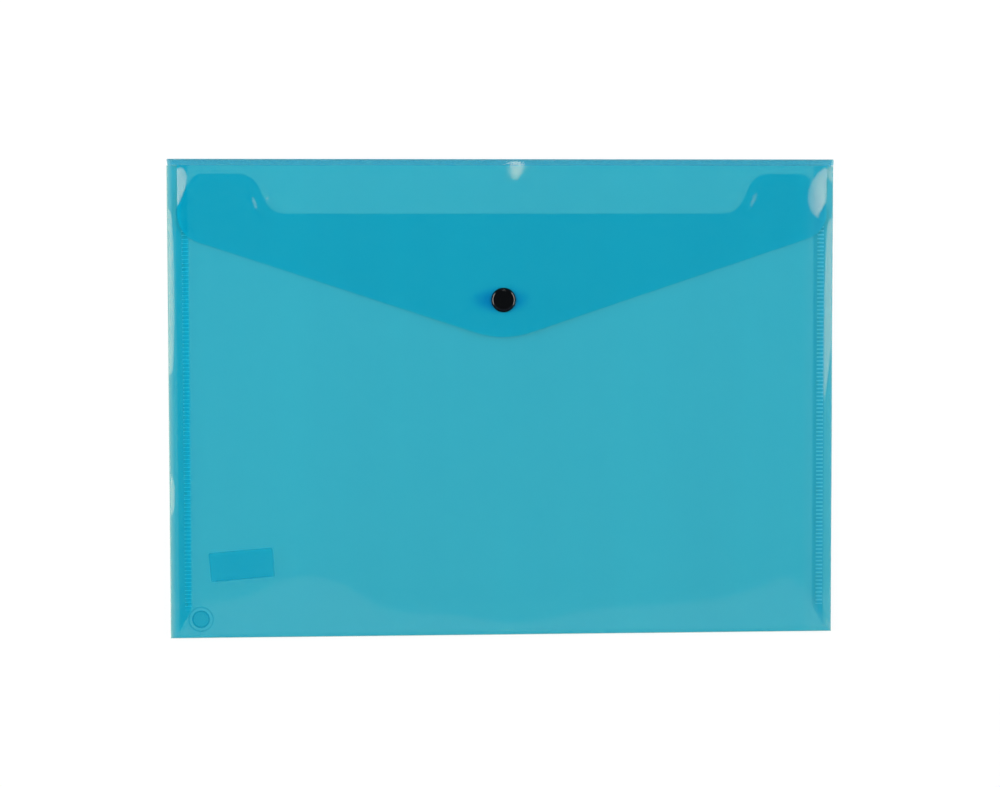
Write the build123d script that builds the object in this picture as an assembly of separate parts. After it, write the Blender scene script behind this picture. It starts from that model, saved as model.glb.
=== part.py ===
from build123d import *
import os
from math import floor, radians, tan

# Document wallet of folded polypropylene sheet, closed and lying on its back. Sizes are in
# millimetres. +X runs along the long edge, +Y towards the folded top edge, +Z up through the flap.
# "Drop" is a distance down from the top edge, "rise" one up from the bottom edge, and "inset" one
# in from a side edge.

# Sheet and closed size
sheet = 0.2
wallet_width = 335.0
wallet_height = 240.0
pocket_gap = 4.8
crease_radius = 3.2

# Front wall: two ears beside a long cut-out that lets the papers be gripped. The cut-out and the
# welds sit a little to the right of the middle.
front_inset = 4.2
cutout_shift = 1.2
ear_drop = 7.3
ear_slant_width = 9.5
ear_slant_height = 15.5
ear_shoulder_radius = 14.0
ear_corner_radius = 6.0
cutout_drop = 27.2
cutout_slope_inset = 45.7
cutout_slope_angle = 66.0
cutout_radius = 11.0

# Flap: straight sides, round corners and a blunt point, cut a little narrower on the left
flap_left_inset = 5.1
flap_left_corner_drop = 38.2
flap_right_inset = 3.4
flap_right_corner_drop = 36.8
flap_corner_radius = 14.5
flap_point_drop = 91.6
flap_tip_radius = 45.0

# Side tabs, folded in from the back wall and mitred at the foot
tab_width = 9.9
tab_mitre_rise = 11.0
corner_gap = 0.2

# Ribbed weld that joins each tab to the front wall
weld_inset = 7.5
weld_width = 3.4
weld_drop = 31.2
weld_rise = 14.0
weld_land = 0.05
rib_height = 0.15
rib_pitch = 2.0
rib_share = 0.5

# Press stud: cap and socket on the flap, ball and backing on the front wall
stud_drop = 70.6
cap_diameter = 12.4
cap_height = 1.6
cap_edge_radius = 0.9
post_diameter = 2.6
rivet_diameter = 3.8
rivet_height = 0.35
socket_diameter = 10.4
socket_height = 2.0
socket_web = 0.6
socket_edge_radius = 0.4
ball_flange_diameter = 10.4
ball_flange_height = 0.5
ball_diameter = 5.1
ball_height = 0.95
ball_edge_radius = 0.2
backing_diameter = 12.4
backing_height = 0.6
backing_edge_radius = 0.25
hole_clearance = 0.1
snap_clearance = 0.15
seat_clearance = 0.1

# Blank label and plain round mark on the front wall
label_width = 32.0
label_height = 14.7
label_thickness = 0.08
label_corner_radius = 0.8
label_inset = 35.6
label_rise = 36.7
label_tilt = 4.6
mark_diameter = 12.8
mark_ring_width = 0.7
mark_disc_diameter = 9.0
mark_thickness = 0.06
mark_inset = 15.0
mark_rise = 9.4

# Edges and levels that follow from the sizes above
side = wallet_width / 2
top = wallet_height / 2
bottom = -wallet_height / 2
front_under = sheet + pocket_gap
front_top = front_under + sheet
flap_gap = ball_flange_height + seat_clearance + socket_height
flap_under = front_top + flap_gap
flap_top = flap_under + sheet
side_fold_radius = front_under / 2
bottom_fold_radius = front_top / 2
crease_line = top - crease_radius
foot_line = bottom + bottom_fold_radius
wall_side = side - side_fold_radius
tab_top = crease_line - corner_gap
tab_foot = bottom + side_fold_radius + corner_gap
stud_y = top - stud_drop
hole_radius = post_diameter / 2 + hole_clearance


def rounded_sheet(points, radii, underside, thickness=sheet):
    """Flat sheet through the corner points, each corner rounded by its radius, or sharp at 0."""
    outline = make_face(Polyline(*points, close=True))
    for point, radius in zip(points, radii):
        if radius:
            corner = outline.vertices().sort_by_distance((*point, 0))[0]
            outline = fillet(corner, radius)
    return Pos(0, 0, underside) * extrude(outline, amount=thickness)


def bend_section(radius, first_angle, turn):
    """Section of the sheet bent round the origin, radius measured to its outer face."""
    outer = CenterArc((0, 0), radius, first_angle, turn)
    inner = CenterArc((0, 0), radius - sheet, first_angle, turn)
    return make_face([outer, Line(outer @ 1, inner @ 1), inner, Line(inner @ 0, outer @ 0)])


def bend_along_x(radius, first_angle, turn, width, y, z):
    """Bend that runs along X, centred on the wallet, with its centre line at y and z."""
    section = Plane.YZ * bend_section(radius, first_angle, turn)
    return Pos(-width / 2, y, z) * extrude(section, amount=width)


def disc(diameter, height, underside):
    """Round plate on the press stud's axis."""
    plate = Cylinder(diameter / 2, height, align=(Align.CENTER, Align.CENTER, Align.MIN))
    return Pos(0, stud_y, underside) * plate


def stud_hole(underside, thickness):
    """Cutter for the hole that a post passes through."""
    return disc(2 * hole_radius, thickness, underside)


def rim(solid, diameter, level):
    """Circular edges of a press stud piece at one diameter and one level."""
    edges = solid.edges().filter_by(GeomType.CIRCLE)
    at_level = [e for e in edges if abs(e.center().Z - level) < seat_clearance / 2]
    return [e for e in at_level if abs(2 * e.radius - diameter) < seat_clearance]


def back_panel():
    points = [
        (-wall_side, foot_line),
        (wall_side, foot_line),
        (wall_side, crease_line),
        (-wall_side, crease_line),
    ]
    return rounded_sheet(points, [0] * len(points), 0)


def front_panel():
    half = side - front_inset
    ear_top = top - ear_drop
    ear_half = half - ear_slant_width
    cutout_foot = top - cutout_drop
    slope_run = (ear_top - cutout_foot) / 2 / tan(radians(cutout_slope_angle))
    slope_middle = side - cutout_slope_inset
    right = [
        (half, foot_line, 0),
        (half, ear_top - ear_slant_height, ear_shoulder_radius),
        (ear_half, ear_top, ear_corner_radius),
    ]
    left = [(-x, y, radius) for x, y, radius in reversed(right)]
    slope = [(slope_middle + slope_run, ear_top), (slope_middle - slope_run, cutout_foot)]
    cutout = slope + [(-x, y) for x, y in reversed(slope)]
    corners = right + [(x + cutout_shift, y, cutout_radius) for x, y in cutout] + left
    panel = rounded_sheet([c[:2] for c in corners], [c[2] for c in corners], front_under)
    return panel - stud_hole(front_under, sheet)


def flap_panel():
    left = flap_left_inset - side
    right = side - flap_right_inset
    corners = [
        (left, crease_line, 0),
        (left, top - flap_left_corner_drop, flap_corner_radius),
        (0, top - flap_point_drop, flap_tip_radius),
        (right, top - flap_right_corner_drop, flap_corner_radius),
        (right, crease_line, 0),
    ]
    panel = rounded_sheet([c[:2] for c in corners], [c[2] for c in corners], flap_under)
    return panel - stud_hole(flap_under, sheet)


def bottom_fold():
    bend = bend_along_x(bottom_fold_radius, 90, 180, wallet_width, foot_line, bottom_fold_radius)
    foot = side - corner_gap
    head = foot - bottom_fold_radius
    mitred = [(-foot, bottom), (foot, bottom), (head, foot_line), (-head, foot_line)]
    return bend & rounded_sheet(mitred, [0] * len(mitred), 0, front_top)


def lower_crease():
    return bend_along_x(crease_radius, 270, 90, wallet_width, crease_line, crease_radius)


def upper_crease():
    return bend_along_x(crease_radius, 0, 90, wallet_width, crease_line, flap_top - crease_radius)


def spine_strip():
    height = flap_top - 2 * crease_radius
    return Pos(0, top - sheet / 2, flap_top / 2) * Box(wallet_width, sheet, height)


def right_side_fold():
    section = Plane.XZ * bend_section(side_fold_radius, 270, 180)
    bend = Pos(wall_side, tab_top, side_fold_radius) * extrude(section, amount=tab_top - bottom)
    foot = bottom + corner_gap
    mitred = [(wall_side, tab_foot), (side, foot), (side, tab_top), (wall_side, tab_top)]
    return bend & rounded_sheet(mitred, [0] * len(mitred), 0, front_under)


def right_weld_tab():
    inner = side - tab_width
    points = [
        (wall_side, tab_foot),
        (wall_side, tab_top),
        (inner, tab_top),
        (inner, tab_foot + tab_mitre_rise),
    ]
    return rounded_sheet(points, [0] * len(points), front_under - sheet)


def right_weld_seam():
    foot = bottom + weld_rise
    length = top - weld_drop - foot
    rib = rib_pitch * rib_share
    count = floor(length / rib_pitch)
    margin = (length - count * rib_pitch + rib_pitch - rib) / 2
    points = [(0, 0), (0, weld_land)]
    for number in range(count):
        start = margin + number * rib_pitch
        points += [(start, weld_land), (start, rib_height)]
        points += [(start + rib, rib_height), (start + rib, weld_land)]
    points += [(length, weld_land), (length, 0)]
    section = Plane.YZ * make_face(Polyline(*points, close=True))
    seam = extrude(section, amount=weld_width)
    return Pos(side - weld_inset - weld_width / 2, foot, front_top) * seam


def stud_cap():
    web_under = flap_under - socket_web
    cap = disc(cap_diameter, cap_height, flap_top)
    cap = fillet(rim(cap, cap_diameter, flap_top + cap_height), cap_edge_radius)
    post = disc(post_diameter, flap_top - web_under, web_under)
    return cap + post + disc(rivet_diameter, rivet_height, web_under - rivet_height)


def stud_socket():
    under = flap_under - socket_height
    socket = disc(socket_diameter, socket_height, under)
    socket = fillet(rim(socket, socket_diameter, under), socket_edge_radius)
    cavity = disc(ball_diameter + 2 * snap_clearance, socket_height - socket_web, under)
    return socket - cavity - stud_hole(flap_under - socket_web, socket_web)


def ball_stud():
    flange_top = front_top + ball_flange_height
    ball_top = flange_top + ball_height
    recess = rivet_height + seat_clearance
    ball = disc(ball_diameter, ball_height, flange_top)
    ball = fillet(rim(ball, ball_diameter, ball_top), ball_edge_radius)
    stud = disc(ball_flange_diameter, ball_flange_height, front_top) + ball
    stud -= disc(rivet_diameter + 2 * hole_clearance, recess, ball_top - recess)
    return stud - stud_hole(front_top, ball_flange_height + ball_height - recess)


def stud_backing():
    under = front_under - backing_height
    rivet_under = front_top + ball_flange_height + ball_height - seat_clearance - rivet_height
    plate = disc(backing_diameter, backing_height, under)
    plate = fillet(rim(plate, backing_diameter, under), backing_edge_radius)
    post = disc(post_diameter, rivet_under - front_under, front_under)
    return plate + post + disc(rivet_diameter, rivet_height, rivet_under)


def blank_label():
    across = label_width / 2
    up = label_height / 2
    points = [(-across, -up), (across, -up), (across, up), (-across, up)]
    patch = rounded_sheet(points, [label_corner_radius] * len(points), front_top, label_thickness)
    return Pos(label_inset - side, bottom + label_rise, 0) * Rot(0, 0, label_tilt) * patch


def round_mark():
    flat = (Align.CENTER, Align.CENTER, Align.MIN)
    ring = Cylinder(mark_diameter / 2, mark_thickness, align=flat)
    ring -= Cylinder(mark_diameter / 2 - mark_ring_width, mark_thickness, align=flat)
    plate = Cylinder(mark_disc_diameter / 2, mark_thickness, align=flat)
    return Pos(mark_inset - side, bottom + mark_rise, front_top) * Compound([*ring.solids(), *plate.solids()])


def left_of(solid):
    """The same piece on the other side edge."""
    return mirror(solid, about=Plane.YZ)


nodes = {
    "back_panel": back_panel(),
    "front_panel": front_panel(),
    "bottom_fold": bottom_fold(),
    "right_side_fold": right_side_fold(),
    "left_side_fold": left_of(right_side_fold()),
    "right_weld_tab": right_weld_tab(),
    "left_weld_tab": left_of(right_weld_tab()),
    "right_weld_seam": Pos(cutout_shift, 0, 0) * right_weld_seam(),
    "left_weld_seam": Pos(cutout_shift, 0, 0) * left_of(right_weld_seam()),
    "lower_crease": lower_crease(),
    "spine_strip": spine_strip(),
    "upper_crease": upper_crease(),
    "flap_panel": flap_panel(),
    "stud_cap": stud_cap(),
    "stud_socket": stud_socket(),
    "ball_stud": ball_stud(),
    "stud_backing": stud_backing(),
    "blank_label": blank_label(),
    "round_mark": round_mark(),
}

os.makedirs("parts", exist_ok=True)
for name, solid in nodes.items():
    export_step(solid, f"parts/{name}.step")
print(f"closed wallet {wallet_width} x {wallet_height} x {flap_top + cap_height} mm")
print(f"lower crease axis y {crease_line} z {crease_radius}")
print(f"upper crease axis y {crease_line} z {flap_top - crease_radius}")
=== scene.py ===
from math import atan2, cos, degrees, exp, hypot, pi, radians, sin, tan

import bmesh
import bpy
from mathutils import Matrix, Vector


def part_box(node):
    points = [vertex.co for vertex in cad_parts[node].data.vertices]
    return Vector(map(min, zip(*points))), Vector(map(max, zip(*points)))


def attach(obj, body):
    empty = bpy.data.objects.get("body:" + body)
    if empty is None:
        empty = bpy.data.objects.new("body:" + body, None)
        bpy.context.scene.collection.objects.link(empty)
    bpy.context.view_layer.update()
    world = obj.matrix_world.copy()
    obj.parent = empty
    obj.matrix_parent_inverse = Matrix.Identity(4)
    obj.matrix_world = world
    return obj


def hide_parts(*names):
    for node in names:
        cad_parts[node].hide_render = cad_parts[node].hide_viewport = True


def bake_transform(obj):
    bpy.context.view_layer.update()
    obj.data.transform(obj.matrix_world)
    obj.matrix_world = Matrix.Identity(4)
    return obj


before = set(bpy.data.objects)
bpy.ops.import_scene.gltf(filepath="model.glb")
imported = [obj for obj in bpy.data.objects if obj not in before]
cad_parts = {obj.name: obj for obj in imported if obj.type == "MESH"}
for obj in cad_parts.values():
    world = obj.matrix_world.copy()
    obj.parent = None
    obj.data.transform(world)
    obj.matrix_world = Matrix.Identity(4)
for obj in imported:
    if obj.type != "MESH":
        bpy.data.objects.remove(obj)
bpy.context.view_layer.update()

# The wallet is worked out in millimetres: +X right, +Y to the top fold, +Z up
mm = 0.001


def corners_of(piece):
    """Lowest and highest corner of a constructed piece."""
    return [Vector(corner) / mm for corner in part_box(piece)]


# Places that the construction gives
back_low, back_high = corners_of("back_panel")
front_low, front_high = corners_of("front_panel")
flap_low, flap_high = corners_of("flap_panel")
tab_low, tab_high = corners_of("right_weld_tab")
crease_high = corners_of("upper_crease")[1]
cap_low, cap_high = corners_of("stud_cap")
sheet = back_high.z - back_low.z
side = crease_high.x
top = crease_high.y
bottom = corners_of("bottom_fold")[0].y
wall_side = back_high.x
foot_line = back_low.y
crease_line = back_high.y
crease_radius = top - crease_line
front_half = front_high.x
stud_y = (cap_low.y + cap_high.y) / 2
back_level = (back_low.z + back_high.z) / 2
tab_level = (tab_low.z + tab_high.z) / 2
front_level = (front_low.z + front_high.z) / 2
flap_level = (flap_low.z + flap_high.z) / 2

# Outline of the front wall's right half, from the bottom up: x, y and the corner's radius
ear_top = front_high.y
ear_slope_top = (126.2, ear_top)
ear_slope_foot = (117.4, 92.8)
ear_slope_radius = 11.0
cutout_shift = 1.2
front_corners = [
    (front_half, foot_line, 0),
    (front_half, ear_top - 15.5, 14.0),
    (front_half - 9.5, ear_top, 6.0),
    (*ear_slope_top, ear_slope_radius),
    (*ear_slope_foot, ear_slope_radius),
]

# Whole outline of the flap, whose left side is cut a little further in
flap_point = 28.4
flap_point_radius = 45.0
flap_corner_y = {-1: 81.8, 1: 83.2}
flap_corner_radius = 14.5
flap_outline = [
    (flap_high.x, crease_line, 0),
    (flap_high.x, flap_corner_y[1], flap_corner_radius),
    (0, flap_point, flap_point_radius),
    (flap_low.x, flap_corner_y[-1], flap_corner_radius),
    (flap_low.x, crease_line, 0),
]
tab_mitre = 11.0
rib_pitch = 2.0


def ease(value, start, end):
    """0 before start, 1 after end, with a smooth rise between."""
    share = min(max((value - start) / (end - start), 0), 1)
    return share * share * (3 - 2 * share)


def leaf(share, rise, fade):
    """Width of a leaf along its length: 0 at both ends and 1 at its widest place."""
    if not 0 < share < 1:
        return 0
    widest = rise / (rise + fade)
    return (share / widest) ** rise * ((1 - share) / (1 - widest)) ** fade


def bend(width, distance, turn):
    """Fall, for a slope of 1, of an edge that bends down within the width, at a distance from that edge."""
    inside = width - distance - max(0, turn - width)
    share = min(max((inside / turn + 1) / 2, 0), 1)
    return 2 * turn * (share**3 - share**4 / 2) + max(0, inside - turn)


# How the springy sheet stands: stretches of the side strips and of the flap's sides, left (-1) and right (1),
# that slope enough to catch the light. Each has its upper end, length and width, the shape of its two ends,
# and the share of its length from where its outer side draws in from the edge
curl_slope = {-1: 0.27, 1: 0.17}
strip_slope = {-1: 0.2, 1: 0.135}
steep_strips = {
    -1: ((95, 82.5, 3.25, 0.2, 0.2, 1), (-37, 22, 2.7, 0.5, 0.5, 1)),
    1: ((115.8, 7.4, 3.6, 0.15, 0.5, 1), (90, 96, 4.75, 0.2, 0.05, 0.52)),
}
strip_turn = 0.6
right_curl_width = 10.7
flap_curls = {
    -1: ((116.8, 24, 5.4, 0.6, 1.6, 1),),
    1: ((116.3, 27, right_curl_width, 0.7, 0.5, 0.58),),
}
curl_turn = 1.2

# Mitres in the lower corners: on the right the upper end, direction, height and half width of a low ridge,
# on the left the inner edge, slant and slope of a slight dip
ridge_x, ridge_y = 160.3, -109
ridge_run, ridge_drop = 0.557, 0.831
ridge_height, ridge_width = 0.14, 1.6
dip_edge, dip_slant, dip_slope = 157.6, 0.6, 0.022

# Rise of the ears beside their sloping edge: its middle, height, width to either side, and length
ear_rise_x = 122.4
ear_rise_y = {-1: 98.0, 1: 99.6}
ear_rise_height = {-1: 1.06, 1: 0.78}
ear_rise_outer, ear_rise_inner = 3.6, 6.5
ear_rise_length = 9.0

# Sag of the front wall, and how far round itself the stud holds the wall up
front_sag = 0.9
stud_hold = 32

# Soft waves of the front wall above its foot: middle, width and slope of each, and where they end
foot_waves = ((-96, 30, 0.024), (7, 18, -0.0255), (70, 40, 0.005), (150, 35, 0.012))
wave_run = 28
wave_crest, wave_end = -75, -20

# Roll of the flap at the crease, slant of its lower edge, and the droop of that edge
roll_depth, roll_length = 0.5, 4
flap_slant = 0.331
droop_depth, droop_length = 2.3, 28


def hand_of(x):
    """Side of the wallet: 1 right, -1 left."""
    return 1 if x > 0 else -1


def steep_fall(stretches, slope, turn, x, y, inward):
    """How far the sheet has fallen on its steep stretches, at a distance inward from its edge."""
    fall = 0
    for upper_end, length, width, rise, fade, leave in stretches[hand_of(x)]:
        share = (upper_end - y) / length
        inner = width * leaf(share, rise, fade)
        outer = inner * (max(0, share - leave) / (1 - leave)) ** 2 if leave < 1 else 0
        fall += slope[hand_of(x)] * (bend(inner, inward, turn) - bend(outer, inward, turn))
    return fall


def corner_ridge(x, y):
    """Low ridge over the mitre in the lower right corner."""
    across = (x - ridge_x) * ridge_drop + (y - ridge_y) * ridge_run
    along = (x - ridge_x) * ridge_run - (y - ridge_y) * ridge_drop
    crest = ridge_height * exp(-((across / ridge_width) ** 2))
    return crest * ease(along, -1, 4) * (1 - ease(along, 9, 11.5))


def corner_dip(x, y):
    """Slight dip over the mitre in the lower left corner, which keeps the front light off it."""
    inside = -x - dip_edge - dip_slant * max(0, foot_line + tab_mitre - y)
    return dip_slope * min(max(0, y - foot_line), tab_mitre) * ease(inside, -2, 1)


def strip_fall(x, y):
    """How far the strip outside the weld has fallen towards the fold."""
    nose = side - abs(x)
    fall = 0.05 * bend(4.5, nose, 2.0) + steep_fall(steep_strips, strip_slope, strip_turn, x, y, nose)
    return fall + corner_dip(x, y) - corner_ridge(x, y)


def ear_push(x, y):
    """The ears stand up a little beside their sloping edge and push the flap up there."""
    run, rise = ear_slope_top[0] - ear_slope_foot[0], ear_slope_top[1] - ear_slope_foot[1]
    out = abs(x - cutout_shift) - ear_rise_x
    up = y - ear_rise_y[hand_of(x)]
    across = (run * up - rise * out) / hypot(run, rise)
    along = (run * out + rise * up) / hypot(run, rise)
    width = ear_rise_outer if across < 0 else ear_rise_inner
    return ear_rise_height[hand_of(x)] * exp(-((across / width) ** 2) - (along / ear_rise_length) ** 2)


def front_height(x, y):
    """Middle of the front wall: a slight sag, held up by the stud, and soft waves near the foot."""
    held = exp(-(x**2 + (y - stud_y) ** 2) / stud_hold**2)
    sag = front_sag * cos(pi / 2 * min(1, abs(x) / tab_low.x)) * ease(y, foot_line, -40)
    rise = sum(slope * exp(-(((x - middle) / width) ** 2)) for middle, width, slope in foot_waves)
    waves = wave_run * rise * ease(y, foot_line, wave_crest) * (1 - ease(y, wave_crest, wave_end))
    waves *= ease(tab_low.x - abs(x), 0, 12)
    return front_level - sag * (1 - held) + waves + 0.5 * ear_push(x, y) - strip_fall(x, y)


def tab_height(x, y):
    return tab_level - strip_fall(x, y)


def flap_height(x, y):
    """Middle of the flap: rolls up from the crease, curls down at its outer corners, droops at its edge."""
    roll = roll_depth * exp((y - crease_line) / roll_length)
    inward = min(flap_high.x - x, x - flap_low.x)
    curl = steep_fall(flap_curls, curl_slope, curl_turn, x, y, inward)
    if x > 0:
        curl *= 0.77 + 0.4 * ease(right_curl_width - inward, 0, right_curl_width)
    above_edge = max(0, y - flap_point - flap_slant * abs(x))
    droop = droop_depth * exp(-above_edge / droop_length)
    # Less of it near the stud, at the outer corners, and under the crease in the middle
    droop *= ease(hypot(x, y - stud_y), 8, 50)
    droop *= 1 - 0.3 * ease(abs(x), 110, 155)
    droop *= 1 - ease(y, 80, 104) * (1 - ease(abs(x), 60, 100))
    return flap_level - roll - curl - droop + ear_push(x, y)


def make_piece(name, verts, faces, material, sharp=40):
    """Mesh object from millimetre points, smooth but for its sharp edges."""
    mesh = bpy.data.meshes.new(name)
    mesh.from_pydata([Vector(v) * mm for v in verts], [], faces)
    mesh.materials.append(material)
    mesh.polygons.foreach_set("use_smooth", [True] * len(mesh.polygons))
    mesh.set_sharp_from_angle(angle=radians(sharp))
    mesh.update()
    piece = bpy.data.objects.new(name, mesh)
    bpy.context.scene.collection.objects.link(piece)
    return piece


def rotated(x, y, angle):
    """Flat direction turned through an angle."""
    return Vector((x * cos(angle) - y * sin(angle), x * sin(angle) + y * cos(angle)))


def round_corners(corners, steps=14):
    """Points round a closed outline whose corners are (x, y, radius)."""
    points = []
    for number, (x, y, radius) in enumerate(corners):
        corner = Vector((x, y))
        if not radius:
            points.append(corner)
            continue
        before = (Vector(corners[number - 1][:2]) - corner).normalized()
        after = (Vector(corners[(number + 1) % len(corners)][:2]) - corner).normalized()
        half_angle = before.angle(after) / 2
        centre = corner + (before + after).normalized() * (radius / sin(half_angle))
        start = corner + before * (radius / tan(half_angle)) - centre
        turn = start.angle_signed(corner + after * (radius / tan(half_angle)) - centre)
        for step in range(steps + 1):
            points.append(centre + rotated(start.x, start.y, -turn * step / steps))
    return points


def mirrored(right_half):
    """Whole outline from its right half."""
    return right_half + [(-x, y, radius) for x, y, radius in reversed(right_half) if x]


def steps_between(start, end, spacing):
    """Even steps from start to end, about the spacing apart."""
    count = max(1, round((end - start) / spacing))
    return [start + (end - start) * number / count for number in range(count + 1)]


def cut_flat(points, xs, ys):
    """Flat faces inside an outline, cut along the lines x and y so that they can bend."""
    flat = bmesh.new()
    flat.faces.new([flat.verts.new((p[0], p[1], 0)) for p in points])
    for lines, direction in ((xs, Vector((1, 0, 0))), (ys, Vector((0, 1, 0)))):
        for line in lines:
            everything = flat.verts[:] + flat.edges[:] + flat.faces[:]
            bmesh.ops.bisect_plane(flat, geom=everything, plane_co=direction * line, plane_no=direction)
    flat.normal_update()
    flat.faces.ensure_lookup_table()
    if flat.faces[0].normal.z < 0:
        bmesh.ops.reverse_faces(flat, faces=flat.faces[:])
    return flat


def closed_sheet(name, flat, height, material, thickness=sheet, crown=None):
    """Closed sheet over flat faces: its middle at height(x, y), its upper side raised by crown(x, y)."""
    flat.verts.index_update()
    count = len(flat.verts)
    upper, lower = [], []
    for vert in flat.verts:
        x, y, _ = vert.co
        middle = height(x, y)
        upper.append((x, y, middle + thickness / 2 + (crown(x, y) if crown else 0)))
        lower.append((x, y, middle - thickness / 2))
    faces = []
    for face in flat.faces:
        ring = [vert.index for vert in face.verts]
        faces.append(ring)
        faces.append([count + number for number in reversed(ring)])
    for edge in flat.edges:
        if edge.is_boundary:
            loop = edge.link_loops[0]
            a, b = loop.vert.index, loop.link_loop_next.vert.index
            faces.append([b, a, count + a, count + b])
    flat.free()
    return make_piece(name, upper + lower, faces, material)


def bent_sheet(name, section, stations, place, material):
    """Closed sheet bent along a section: section(station) gives its middle line, place puts it in space."""
    outer, inner = [], []
    for station in stations:
        line = section(station)
        for number, (across, up) in enumerate(line):
            a, b = line[max(number - 1, 0)], line[min(number + 1, len(line) - 1)]
            run, rise = b[0] - a[0], b[1] - a[1]
            out = sheet / 2 / hypot(run, rise)
            outer.append(place(across + rise * out, up - run * out, station))
            inner.append(place(across - rise * out, up + run * out, station))
    width, count = len(line), len(outer)
    faces = []

    def skin(a, b, c, d):
        faces.append([a, b, c, d])
        faces.append([count + d, count + c, count + b, count + a])

    def wall(a, b):
        faces.append([b, a, count + a, count + b])

    for row in range(len(stations) - 1):
        for number in range(width - 1):
            corner = row * width + number
            skin(corner, corner + 1, corner + width + 1, corner + width)
        wall((row + 1) * width, row * width)
        wall(row * width + width - 1, (row + 1) * width + width - 1)
    for number in range(width - 1):
        wall(number, number + 1)
        last = count - width + number
        wall(last + 1, last)
    piece = make_piece(name, outer + inner, faces, material)
    tidy = bmesh.new()
    tidy.from_mesh(piece.data)
    bmesh.ops.recalc_face_normals(tidy, faces=tidy.faces[:])
    tidy.to_mesh(piece.data)
    tidy.free()
    return piece


def curve(points, steps=20):
    """Points along the smooth curve with four guide points."""
    a, b, c, d = (Vector(p) for p in points)
    line = []
    for step in range(steps + 1):
        t = step / steps
        line.append(tuple(a * (1 - t) ** 3 + b * 3 * t * (1 - t) ** 2 + c * 3 * t**2 * (1 - t) + d * t**3))
    return line


def turned(name, profile, material, segments=72):
    """Round piece on the stud's axis from a (radius, height) profile that starts and ends there."""
    verts, faces = [], []
    inside = profile[1:-1]
    for segment in range(segments):
        angle = 2 * pi * segment / segments
        verts += [(radius * cos(angle), stud_y + radius * sin(angle), height) for radius, height in inside]
    foot, head = len(verts), len(verts) + 1
    verts += [(0, stud_y, profile[0][1]), (0, stud_y, profile[-1][1])]
    width = len(inside)
    for segment in range(segments):
        here, there = segment * width, (segment + 1) % segments * width
        faces.append([foot, there, here])
        faces.append([head, here + width - 1, there + width - 1])
        for number in range(width - 1):
            faces.append([here + number, there + number, there + number + 1, here + number + 1])
    return make_piece(name, verts, faces, material)


def linear(code):
    """Linear colour of an sRGB hex code."""
    parts = [int(code[start : start + 2], 16) / 255 for start in (0, 2, 4)]
    return (*[p / 12.92 if p <= 0.04045 else ((p + 0.055) / 1.055) ** 2.4 for p in parts], 1)


def node(tree, kind, inputs=(), **settings):
    """Adds a node. Inputs are values, or the outputs of other nodes, by socket name or number."""
    made = tree.nodes.new(kind)
    for name, value in settings.items():
        setattr(made, name, value)
    for name, value in dict(inputs).items():
        if isinstance(value, bpy.types.NodeSocket):
            tree.links.new(value, made.inputs[name])
        else:
            made.inputs[name].default_value = value
    return made


def new_material(name):
    """Empty node material, with its tree."""
    material = bpy.data.materials.new(name)
    material.use_nodes = True
    material.node_tree.nodes.clear()
    return material, material.node_tree


def finish_material(tree, shader):
    node(tree, "ShaderNodeOutputMaterial", {"Surface": shader.outputs[0]})


def see_through(tree, body, tint, shader):
    """Hazy sheet: body is the share of each face with hazy colour, the rest shows what is behind, tinted."""
    clear = node(tree, "ShaderNodeBsdfTransparent", {"Color": tint})
    sheet_mix = node(tree, "ShaderNodeMixShader", {0: body, 1: clear.outputs[0], 2: shader.outputs[0]})
    finish_material(tree, sheet_mix)


# Marks in the sheet: width and length of its draw lines and size of its grain; then the stud's painted shade,
# where it is full and where it ends, how much narrower it is along y, its middle and the haze it adds
streak_width, streak_length = 44, 900
grain_size = 14
painted_shade_full, painted_shade_end = 4, 17.5
painted_shade_squeeze = 2.2
painted_shade_x = -1.5
painted_shade_body = 0.14
# Bands of painted sheen along the side folds, pale colour for the glare of the rounded folds: start, end and
# share of white
painted_sheen_bands = ((-164.1, -167.6, 0.48), (150, 158, 0.034), (162, 167, 0.022))


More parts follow.
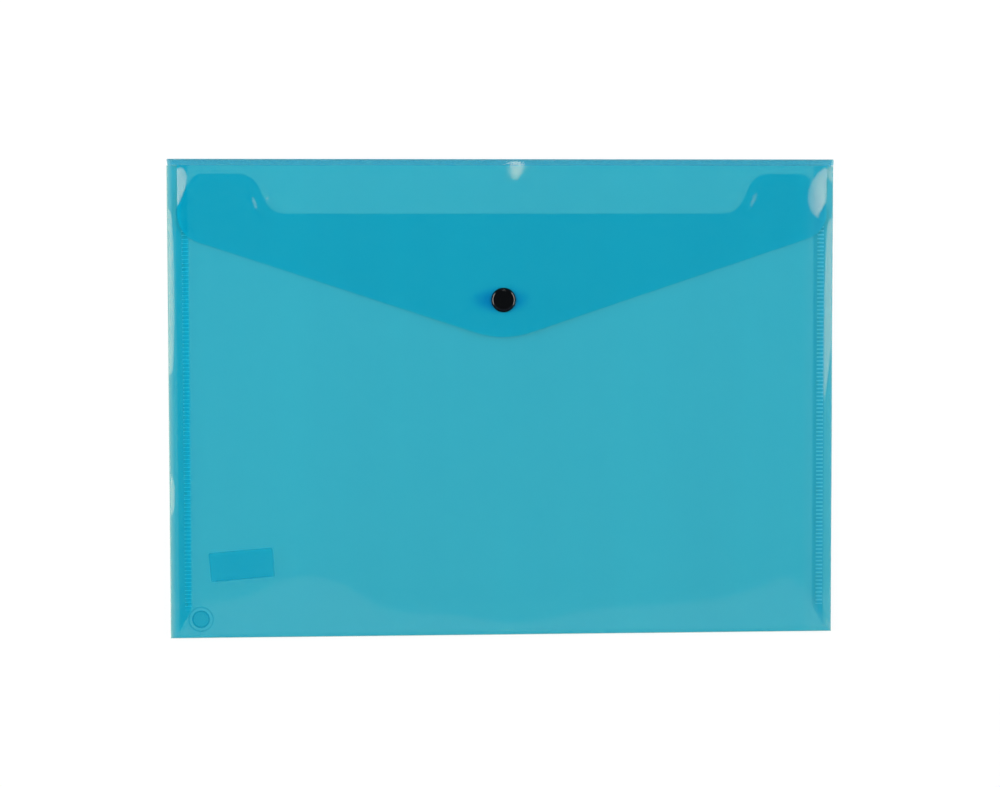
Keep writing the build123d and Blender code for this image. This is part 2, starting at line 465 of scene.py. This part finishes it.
def sheet_plastic(name, colour, streak_colour, body, tint, roughness=0.03):
    """Extruded polypropylene sheet: hazy blue, faint draw lines along the way it was rolled, smooth gloss,
    with painted shade round the stud and painted sheen at the side folds.
    """
    material, tree = new_material(name)
    place = node(tree, "ShaderNodeTexCoord").outputs["Object"]
    streak_scale = (1 / (streak_width * mm), 1 / (streak_length * mm), 1)
    along = node(tree, "ShaderNodeMapping", {"Vector": place, "Scale": streak_scale}).outputs[0]
    streaks = node(tree, "ShaderNodeTexNoise", {"Vector": along, "Scale": 1.0, "Detail": 4.0}).outputs[0]
    drawn = {0: streaks, 6: linear(colour), 7: linear(streak_colour)}
    shade = node(tree, "ShaderNodeMix", drawn, data_type="RGBA").outputs[2]
    # Painted shade: the stud's shadow is painted into the sheets' colour beside it, less above and below,
    # where the light comes from the sides
    plan = node(tree, "ShaderNodeMapping", {"Vector": place, "Scale": (1, painted_shade_squeeze, 0)}).outputs[0]
    middle = (painted_shade_x * mm, painted_shade_squeeze * stud_y * mm, 0)
    stud = node(tree, "ShaderNodeVectorMath", {0: plan, 1: middle}, operation="DISTANCE").outputs["Value"]
    reach = {
        "Value": stud,
        "From Min": painted_shade_full * mm,
        "From Max": painted_shade_end * mm,
        "To Min": 1.0,
        "To Max": 0.0,
    }
    near = node(tree, "ShaderNodeMapRange", reach, interpolation_type="SMOOTHSTEP").outputs[0]
    painted_stud_shade = {0: near, 6: shade, 7: linear("0098e2")}
    shade = node(tree, "ShaderNodeMix", painted_stud_shade, data_type="RGBA").outputs[2]
    # Painted sheen: pale colour at the side folds stands in for their glare, sharply on the left, in a broad
    # band on the right
    across = node(tree, "ShaderNodeSeparateXYZ", {0: place}).outputs["X"]
    white = 0
    for start, end, most in painted_sheen_bands:
        band = {"Value": across, "From Min": start * mm, "From Max": end * mm}
        share = node(tree, "ShaderNodeMapRange", band).outputs[0]
        rise = node(tree, "ShaderNodeMath", {0: share, 1: 2}, operation="POWER").outputs[0]
        added = {0: rise, 1: most, 2: white}
        white = node(tree, "ShaderNodeMath", added, operation="MULTIPLY_ADD").outputs[0]
    painted_fold_sheen = {0: white, 6: shade, 7: linear("f0fcff")}
    shade = node(tree, "ShaderNodeMix", painted_fold_sheen, data_type="RGBA").outputs[2]
    grain_look = {"Vector": place, "Scale": 1 / (grain_size * mm), "Detail": 2.0}
    grain = node(tree, "ShaderNodeTexNoise", grain_look).outputs[0]
    gloss_look = {"Value": grain, "To Min": 0.8 * roughness, "To Max": 1.4 * roughness}
    gloss = node(tree, "ShaderNodeMapRange", gloss_look).outputs[0]
    ripple_look = {"Height": grain, "Strength": 0.08, "Distance": 0.05 * mm}
    ripple = node(tree, "ShaderNodeBump", ripple_look).outputs[0]
    haze_look = {
        "Base Color": shade,
        "Roughness": gloss,
        "Normal": ripple,
        "IOR": 1.49,
        "Specular IOR Level": 0.89,
        "Specular Tint": linear("ffd2a8"),
    }
    haze = node(tree, "ShaderNodeBsdfPrincipled", haze_look)
    # The painted shade round the stud also makes the sheets hazier there
    hazier_in_painted_shade = {0: near, 1: painted_shade_body, 2: body}
    body = node(tree, "ShaderNodeMath", hazier_in_painted_shade, operation="MULTIPLY_ADD").outputs[0]
    see_through(tree, body, linear(tint), haze)
    return material


def pressed_plastic(name, first_rib, groove_tint, crest_colour_and_sheen, crest_body):
    """Polypropylene melted under a ribbed tool: clear in the grooves, hazy and pale on each rib's crest,
    partly the melted haze and partly painted sheen where the crests catch the light.
    """
    material, tree = new_material(name)
    place = node(tree, "ShaderNodeTexCoord").outputs["Object"]
    along = node(tree, "ShaderNodeSeparateXYZ", {0: place}).outputs["Y"]
    past = node(tree, "ShaderNodeMath", {0: along, 1: first_rib * mm}, operation="SUBTRACT").outputs[0]
    rib_rate = 2 * pi / (rib_pitch * mm)
    turns = node(tree, "ShaderNodeMath", {0: past, 1: rib_rate}, operation="MULTIPLY").outputs[0]
    wave = node(tree, "ShaderNodeMath", {0: turns}, operation="COSINE").outputs[0]
    crest = {"Value": wave, "From Min": -0.4, "From Max": 0.4, "To Min": 0.0, "To Max": crest_body}
    body = node(tree, "ShaderNodeMapRange", crest).outputs[0]
    grain_look = {"Vector": place, "Scale": 1 / (0.8 * mm), "Detail": 2.0}
    grain = node(tree, "ShaderNodeTexNoise", grain_look).outputs[0]
    gloss = node(tree, "ShaderNodeMapRange", {"Value": grain, "To Min": 0.3, "To Max": 0.42}).outputs[0]
    pressed_look = {
        "Base Color": linear(crest_colour_and_sheen),
        "Roughness": gloss,
        "IOR": 1.49,
        "Specular IOR Level": 0.4,
    }
    pressed = node(tree, "ShaderNodeBsdfPrincipled", pressed_look)
    see_through(tree, body, linear(groove_tint), pressed)
    return material


def stud_plastic():
    """Black acetal of the press stud: deep gloss with a fine moulded grain."""
    material, tree = new_material("black_acetal")
    place = node(tree, "ShaderNodeTexCoord").outputs["Object"]
    grain_look = {"Vector": place, "Scale": 1 / (0.7 * mm), "Detail": 3.0}
    grain = node(tree, "ShaderNodeTexNoise", grain_look).outputs[0]
    blacks = {0: grain, 6: linear("080a0c"), 7: linear("0c0f12")}
    shade = node(tree, "ShaderNodeMix", blacks, data_type="RGBA").outputs[2]
    gloss = node(tree, "ShaderNodeMapRange", {"Value": grain, "To Min": 0.08, "To Max": 0.14}).outputs[0]
    bump_look = {"Height": grain, "Strength": 0.1, "Distance": 0.02 * mm}
    bumps = node(tree, "ShaderNodeBump", bump_look).outputs[0]
    black_look = {
        "Base Color": shade,
        "Roughness": gloss,
        "Normal": bumps,
        "IOR": 1.48,
        "Specular IOR Level": 0.8,
    }
    finish_material(tree, node(tree, "ShaderNodeBsdfPrincipled", black_look))
    return material


def studio_floor():
    """Pale floor that the camera sees white, with the wallet's soft shadow on it."""
    material, tree = new_material("white_floor")
    seen = node(tree, "ShaderNodeLightPath").outputs["Is Camera Ray"]
    share = node(tree, "ShaderNodeMath", {0: seen, 1: 0.85}, operation="MULTIPLY").outputs[0]
    matt = node(tree, "ShaderNodeBsdfDiffuse", {"Color": (0.9, 0.9, 0.9, 1)})
    glow = node(tree, "ShaderNodeEmission", {"Color": (1, 1, 1, 1), "Strength": 1.06})
    floor_mix = node(tree, "ShaderNodeMixShader", {0: share, 1: matt.outputs[0], 2: glow.outputs[0]})
    finish_material(tree, floor_mix)
    return material


polypropylene = sheet_plastic("blue_polypropylene", "00bcf4", "00c7fc", 0.413, "e3ffed")
# Greyer, slightly darker copy of the sheet for the top fold: painted shade of the curved fold
fold_shaded = sheet_plastic("shaded_fold_polypropylene", "28b2e6", "28baec", 0.413, "e3fdf4")
film = sheet_plastic("label_film", "00c3f4", "00c9fa", 0.36, "e0fff6", 0.12)
mark_film = sheet_plastic("mark_film", "00b0ec", "00b8f2", 0.03, "d3fafc", 0.12)
acetal = stud_plastic()

# Back wall, flat on the table
back_outline = [(wall_side, foot_line, 0), (wall_side, crease_line, 0)]
back = closed_sheet(
    "back_wall",
    cut_flat(
        round_corners(mirrored(back_outline)),
        steps_between(-160, 160, 16),
        steps_between(-112, 112, 16),
    ),
    lambda x, y: back_level,
    polypropylene,
)

# Front wall with its two ears, its cut-out a little to the right, finer at its sides and where the ears curl
front_outline = [
    (x + cutout_shift if abs(x) <= ear_slope_top[0] else x, y, radius)
    for x, y, radius in mirrored(front_corners)
]
front = closed_sheet(
    "front_wall",
    cut_flat(
        round_corners(front_outline),
        steps_between(-163, -161, 0.25)
        + steps_between(-160, -156, 1)
        + steps_between(-152, 152, 4)
        + steps_between(-130, -117, 1)
        + steps_between(117, 132, 1)
        + steps_between(156, 160, 1)
        + steps_between(161, 163, 0.25),
        steps_between(-116, 84, 4) + steps_between(86, 112, 1.5),
    ),
    front_height,
    polypropylene,
)

# Flap, finer towards its curled sides and its roll at the crease
flap = closed_sheet(
    "flap_sheet",
    cut_flat(
        round_corners(flap_outline),
        steps_between(-162, -154, 0.4)
        + steps_between(-152, 147, 3.5)
        + steps_between(-130, -116, 1)
        + steps_between(116, 132, 1)
        + steps_between(149, 163.8, 0.4),
        steps_between(33, 82, 3.5) + steps_between(84, 116.4, 0.7),
    ),
    flap_height,
    polypropylene,
)


def fold_section(reach, upper):
    """Middle line of a folded edge, from the back wall round its nose to the upper side.
    Upper gives the height of that side at a distance from the nose."""
    turn = 0.35
    end = upper(turn)
    slope = (upper(turn + 0.2) - end) / 0.2
    guide = [
        (0, back_level),
        (reach + 0.8, back_level + 0.4),
        (reach + 0.5, end - slope * turn),
        (reach - turn, end),
    ]
    return curve(guide, 20) + [(reach - away, upper(away)) for away in steps_between(turn, reach, 0.2)[1:]]


# Bottom fold, mitred at its ends
foot_reach = foot_line - bottom


def bottom_place(out, up, x):
    drawn = max(0, 1 - (wall_side - abs(x)) / 10)
    return (x + hand_of(x) * out * drawn, foot_line - out, up)


foot = bent_sheet(
    "bottom_bend",
    lambda x: fold_section(foot_reach, lambda away: front_level - 0.1 * bend(1.6, away, 0.8)),
    steps_between(-wall_side, wall_side, 5),
    bottom_place,
    polypropylene,
)

# Side folds, mitred at the foot, the tabs that turn in from them and the welds
side_reach = side - wall_side
# Groove tint, crest colour and crest haze of each weld: the paler crests on the right are partly painted
# sheen where the ribs catch the light
rib_looks_and_sheen = {-1: ("dcffff", "00d7ff", 0.42), 1: ("f0ffff", "51d5f5", 0.55)}
tab_foot = tab_low.y
under_crease = crease_line - 0.03
for hand, word in ((-1, "left"), (1, "right")):

    def side_place(out, up, y, hand=hand):
        drawn = max(0, 1 - (y - tab_foot) / 10)
        return (hand * (wall_side + out), y - (out + 0.2) * drawn, up)

    fold = bent_sheet(
        f"{word}_fold",
        lambda y, hand=hand: fold_section(side_reach, lambda away: tab_height(hand * (side - away), y)),
        steps_between(tab_foot, under_crease, 1.0),
        side_place,
        polypropylene,
    )
    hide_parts(f"{word}_side_fold")
    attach(fold, "pocket")
    tab_outline = [
        (hand * x, y)
        for x, y in (
            (wall_side - 1.5, tab_foot),
            (wall_side, tab_foot),
            (wall_side, under_crease),
            (tab_low.x, under_crease),
            (tab_low.x, tab_foot + tab_mitre),
        )
    ]
    tab = closed_sheet(
        f"{word}_tab",
        cut_flat(
            tab_outline,
            [hand * x for x in steps_between(158, 161.4, 0.8) + steps_between(161.6, 164.8, 0.2)],
            steps_between(tab_foot, under_crease, 1.0)[1:-1],
        ),
        tab_height,
        polypropylene,
    )
    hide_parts(f"{word}_weld_tab")
    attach(tab, "pocket")

    # Ribbed weld: rounded bars across the seam
    weld_low, weld_high = corners_of(f"{word}_weld_seam")

    def rib(x, y, weld_low=weld_low, weld_high=weld_high):
        crest = max(0, cos(2 * pi * (y - weld_low.y) / rib_pitch)) ** 0.6
        return 0.16 * crest * ease(min(x - weld_low.x, weld_high.x - x), 0, 0.5)

    weld = closed_sheet(
        f"{word}_weld",
        cut_flat(
            [
                (weld_low.x, weld_low.y),
                (weld_high.x, weld_low.y),
                (weld_high.x, weld_high.y),
                (weld_low.x, weld_high.y),
            ],
            steps_between(weld_low.x + 0.3, weld_high.x - 0.3, 0.35),
            steps_between(weld_low.y + 0.25, weld_high.y - 0.25, rib_pitch / 8),
        ),
        lambda x, y: front_height(x, y) + sheet / 2 + 0.02,
        pressed_plastic(f"pressed_polypropylene_{word}", weld_low.y, *rib_looks_and_sheen[hand]),
        0.04,
        rib,
    )
    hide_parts(f"{word}_weld_seam")
    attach(weld, "pocket")

# Top fold: crease at the back wall, narrow spine, and the crease that rolls on to the flap
across_top = steps_between(-side, side, 5)
mid_radius = crease_radius - sheet / 2
spine_y = top - sheet / 2
lower_knee = crease_radius
upper_knee = flap_high.z - crease_radius


def lower_crease_section(x):
    arc = [pi / 2 * number / 16 for number in range(17)]
    return [(crease_line + mid_radius * sin(a), back_level + mid_radius * (1 - cos(a))) for a in arc]


def upper_crease_section(x):
    end = flap_height(0, crease_line)
    slope = 0.125
    return curve(
        [
            (spine_y, upper_knee),
            (spine_y, upper_knee + 1.9),
            (crease_line + 2.3, end - 2.3 * slope),
            (crease_line, end),
        ],
        20,
    )


def along_x(y, z, x):
    return (x, y, z)


lower_crease = bent_sheet("crease_at_back", lower_crease_section, across_top, along_x, fold_shaded)
spine = bent_sheet(
    "spine",
    lambda x: [(spine_y, z) for z in steps_between(lower_knee, upper_knee, 0.4)],
    across_top,
    along_x,
    fold_shaded,
)
upper_crease = bent_sheet(
    "crease_at_flap",
    upper_crease_section,
    across_top,
    lambda y, z, x: (x * (1 - 0.003 * (top - y) / crease_radius), y, z),
    fold_shaded,
)

# Press stud's cap: a broad rounded rim round a slightly dished top
cap_radius = cap_high.x
cap_top = cap_high.z
rim_width = 1.5
rim_depth = 1.15
rim = [
    (cap_radius - rim_width * (1 - cos(radians(a))), cap_top - rim_depth * (1 - sin(radians(a))))
    for a in range(0, 91, 6)
]
post_radius, rivet_radius = 1.3, 1.9
rivet_foot, rivet_top, cap_underside = 6.85, 7.2, 8.0
post = [
    (0, rivet_foot),
    (rivet_radius, rivet_foot),
    (rivet_radius, rivet_top),
    (post_radius, rivet_top),
    (post_radius, cap_underside),
]
brim = [(6.1, cap_underside), (cap_radius, 8.1)]
dish = [(3.8, 9.58), (3.0, 9.55), (0, 9.54)]
cap = turned("press_cap", post + brim + rim + dish, acetal)

# Blank label and plain round mark, draped on the front wall
label_centre = Vector((-131.9, -83.3))
label_tilt = radians(4.6)
label_length, label_width = 32, 14.7
label_corner_radius = 0.8
label_corners = [
    (across * label_length / 2, up * label_width / 2, label_corner_radius)
    for across, up in ((-1, -1), (1, -1), (1, 1), (-1, 1))
]
# Turned-over strip of film along the label's lower edge: its extra layers darken the edge, painted shade for
# the shadow of the lifted edge
edge_shade_corners = [(-14, -7.3, 0), (13, -7.3, 0), (12, -6.6, 0), (0, -6.9, 0), (-13, -6.5, 0)]


def film_piece(name, corners, lift):
    """Piece of the label's film, from corners in the label's own directions, lifted off the front wall."""
    outline = [(*(label_centre + rotated(across, up, label_tilt)), radius) for across, up, radius in corners]
    flat = cut_flat(round_corners(outline, 5), steps_between(-147, -117, 3), steps_between(-90, -76, 3))
    return closed_sheet(name, flat, lambda x, y: front_height(x, y) + sheet / 2 + lift, film, 0.08)


label = film_piece("blank_film", label_corners, 0.05)
label_edge_and_shade = film_piece("turned_edge_and_shade", edge_shade_corners, 0.25)

mark_centre = (-152.5, -110.6)
mark_thickness = 0.06
mark_disc_radius = 4.4
mark_rim_outside, mark_rim_inside, mark_rim_lift = 4.5, 3.7, 0.07
mark_ring_outside, mark_ring_inside = 6.4, 5.7


def ring_points(radius, steps=64):
    """Points round the mark's middle."""
    return [
        (mark_centre[0] + radius * cos(2 * pi * s / steps), mark_centre[1] + radius * sin(2 * pi * s / steps))
        for s in range(steps)
    ]


def on_front(x, y):
    """Height of the mark's film on the front wall."""
    return front_height(x, y) + sheet / 2 + 0.04


def ring_sheet(name, outside, inside, lift):
    """Ring of the mark's film, lifted off the front wall."""
    flat = bmesh.new()
    outer, inner = (
        [flat.verts.new((x, y, 0)) for x, y in ring_points(radius)] for radius in (outside, inside)
    )
    for number in range(len(outer)):
        after = (number + 1) % len(outer)
        flat.faces.new([outer[number], outer[after], inner[after], inner[number]])
    flat.normal_update()
    return closed_sheet(name, flat, lambda x, y: on_front(x, y) + lift, mark_film, mark_thickness)


disc_flat = cut_flat(ring_points(mark_disc_radius), [], [])
mark_disc = closed_sheet("mark_disc", disc_flat, on_front, mark_film, mark_thickness)
mark_rim = ring_sheet("mark_rim", mark_rim_outside, mark_rim_inside, mark_rim_lift)
mark_ring = ring_sheet("mark_ring", mark_ring_outside, mark_ring_inside, 0)

# What each piece stands for, and what it moves with
for piece, node_name, slot in (
    (back, "back_panel", "sheet"),
    (front, "front_panel", "sheet"),
    (foot, "bottom_fold", "sheet"),
    (label, "blank_label", "label"),
    (label_edge_and_shade, "blank_label", "label"),
    (mark_rim, "round_mark", "label"),
    (mark_ring, "round_mark", "label"),
    (mark_disc, "round_mark", "label"),
):
    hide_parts(node_name)
    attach(piece, "pocket")
for piece, node_name, body, slot in (
    (spine, "spine_strip", "spine", "sheet"),
    (flap, "flap_panel", "flap", "sheet"),
    (cap, "stud_cap", "flap", "stud"),
):
    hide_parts(node_name)
    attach(piece, body)
for piece, node_name, first, second, start, end in (
    (lower_crease, "lower_crease", "pocket", "spine", (0, crease_line, 0), (0, top, crease_radius)),
    (upper_crease, "upper_crease", "spine", "flap", (0, top, upper_knee), (0, crease_line, flap_high.z)),
):
    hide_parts(node_name)
    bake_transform(piece)
for name in ("stud_socket", "ball_stud", "stud_backing"):
    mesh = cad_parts[name].data
    mesh.materials.clear()
    mesh.materials.append(acetal)

# Floor and white surroundings
floor_half = 3.0
floor_drop = 0.0002
floor_corners = [
    (x * floor_half, y * floor_half, -floor_drop) for x, y in ((-1, -1), (1, -1), (1, 1), (-1, 1))
]
floor_mesh = bpy.data.meshes.new("floor")
floor_mesh.from_pydata(floor_corners, [], [(0, 1, 2, 3)])
floor_mesh.materials.append(studio_floor())
floor = bpy.data.objects.new("floor", floor_mesh)
bpy.context.scene.collection.objects.link(floor)

# The camera sees the surroundings white; they fill the shadows a little and hardly show in reflections
fill_light = 0.185
fill_in_gloss = 0.02
world = bpy.data.worlds.new("studio")
bpy.context.scene.world = world
world.use_nodes = True
sky_tree = world.node_tree
sky_tree.nodes.clear()
ray = node(sky_tree, "ShaderNodeLightPath").outputs
fill_look = {"Value": ray["Is Glossy Ray"], "To Min": fill_light, "To Max": fill_in_gloss}
fill = node(sky_tree, "ShaderNodeMapRange", fill_look).outputs[0]
seen_or_fill = {0: ray["Is Camera Ray"], 1: fill}
level = node(sky_tree, "ShaderNodeMath", seen_or_fill, operation="MAXIMUM").outputs[0]
sky = node(sky_tree, "ShaderNodeBackground", {"Color": (1, 1, 1, 1), "Strength": level})
node(sky_tree, "ShaderNodeOutputWorld", {"Surface": sky.outputs[0]})


def lamp(
    name,
    place,
    target,
    width,
    height,
    brightness,
    shape="RECTANGLE",
    turn=0,
    fade=None,
    colour=(1, 1, 1),
):
    """Softbox whose face has the brightness, where 1 looks white, turned in its own plane.
    Fade gives the shares of that brightness at its lower and its upper side."""
    light = bpy.data.lights.new(name, "AREA")
    light.shape = shape
    light.size, light.size_y = width, height
    light.color = colour
    light.energy = brightness * pi * width * height * (pi / 4 if shape == "ELLIPSE" else 1)
    if fade:
        light.use_nodes = True
        tree = light.node_tree
        face = node(tree, "ShaderNodeNewGeometry").outputs["Parametric"]
        height_share = node(tree, "ShaderNodeSeparateXYZ", {0: face}).outputs["Y"]
        fall = {"Value": height_share, "To Min": fade[0], "To Max": fade[1]}
        share = node(tree, "ShaderNodeMapRange", fall).outputs[0]
        tree.links.new(share, tree.nodes["Emission"].inputs["Strength"])
    lamp_object = bpy.data.objects.new(name, light)
    lamp_object.location = place
    lamp_object.rotation_euler = (Vector(target) - Vector(place)).to_track_quat("-Z", "Y").to_euler()
    lamp_object.rotation_euler.rotate_axis("Z", radians(turn))
    bpy.context.scene.collection.objects.link(lamp_object)


# Softboxes at both sides, brighter at their lower side
for name, hand, brightness, fade in (
    ("left_softbox", -1, 6.25, (1.8, 0.2)),
    ("right_softbox", 1, 5.35, (1.9, 0.1)),
):
    lamp(name, (hand * 0.75, 0.18, 0.88), (0, 0.18, 0), 1.0, 0.4, brightness, fade=fade)

# Strip light behind the top fold, in three straight lengths that follow a curve, seen in the flap's roll
strip_height = 1.05
strip_brightness = 8.4
for name, near, far, width, shape in (
    ("near_strip", 0.2, 0.8, 0.0145, "ELLIPSE"),
    ("middle_strip", 0.5, 1.1, 0.0136, "RECTANGLE"),
    ("far_strip", 1.1, 1.6, 0.0136, "RECTANGLE"),
):
    near_x, far_x = (0.0064 + 0.0655 * hypot(y - 0.12, 1.042) for y in (near, far))
    middle = Vector(((near_x + far_x) / 2 - 0.0006, (near + far) / 2, strip_height))
    turn = -degrees(atan2(far_x - near_x, far - near))
    lamp(name, middle, middle - Vector((0, 0, 1)), width, far - near, strip_brightness, shape, turn)

# Weak bluish panel in front, seen in the waves above the foot
lamp("front_panel", (0, -0.35, 1.1), (0, -0.35, 0), 1.4, 0.18, 0.575, colour=(0.8, 1.0, 1.5))

# Camera, nearly straight above, as in the photograph
camera_data = bpy.data.cameras.new("camera")
camera_data.lens = 80.0
camera_data.sensor_width = 36.0
camera_data.clip_start = 0.05
camera = bpy.data.objects.new("camera", camera_data)
camera.location = (-0.06709, 0.05811, 1.12235)
camera.rotation_euler = (radians(-2.848), radians(-3.356), radians(-0.125))
bpy.context.scene.collection.objects.link(camera)
bpy.context.scene.camera = camera
bpy.context.scene.view_settings.view_transform = "Standard"
bpy.context.scene.cycles.transparent_max_bounces = 40
